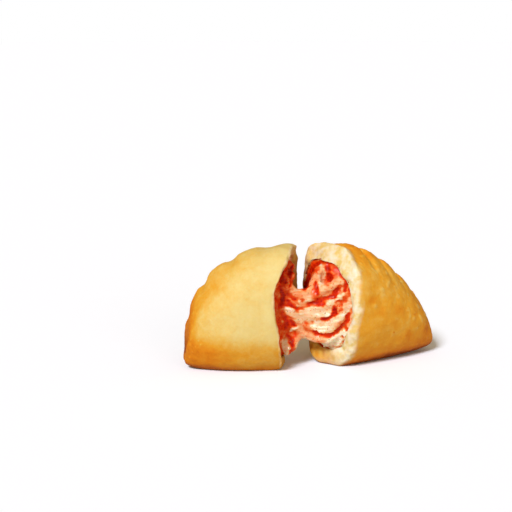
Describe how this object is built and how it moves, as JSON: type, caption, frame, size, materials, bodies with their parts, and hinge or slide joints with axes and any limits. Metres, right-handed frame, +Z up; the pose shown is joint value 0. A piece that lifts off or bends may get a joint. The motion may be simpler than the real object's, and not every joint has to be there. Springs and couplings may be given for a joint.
{
  "type": "panzerotto",
  "caption": "Small fried half-moon turnover, torn open: hollow golden dough with a crimped upper edge, its halves still joined by a sagging bridge of stretched cheese and tomato filling.",
  "frame": {"origin": "Middle of the bounding box in plan, at the height of the table that the part rests on.", "axes": "+X runs along the piece, from the pale half on the left to the golden half on the right. +Y points away from the shown side, on which the tear opens. +Z is up, from the fold to the crimped edge."},
  "size_m": [0.1108, 0.0467, 0.0532],
  "materials": {
    "crust_pale": "fried dough, pale golden yellow with a browned fold, satin; cream torn crumb",
    "crust_golden": "fried dough, golden to amber towards the tip, satin; cream torn crumb",
    "filling": "stretched mozzarella and red tomato sauce, wet and glossy"
  },
  "bodies": {
    "root": {"crust_left": "crust_pale", "crust_right": "crust_golden", "filling": "filling"}
  },
  "joints": []
}
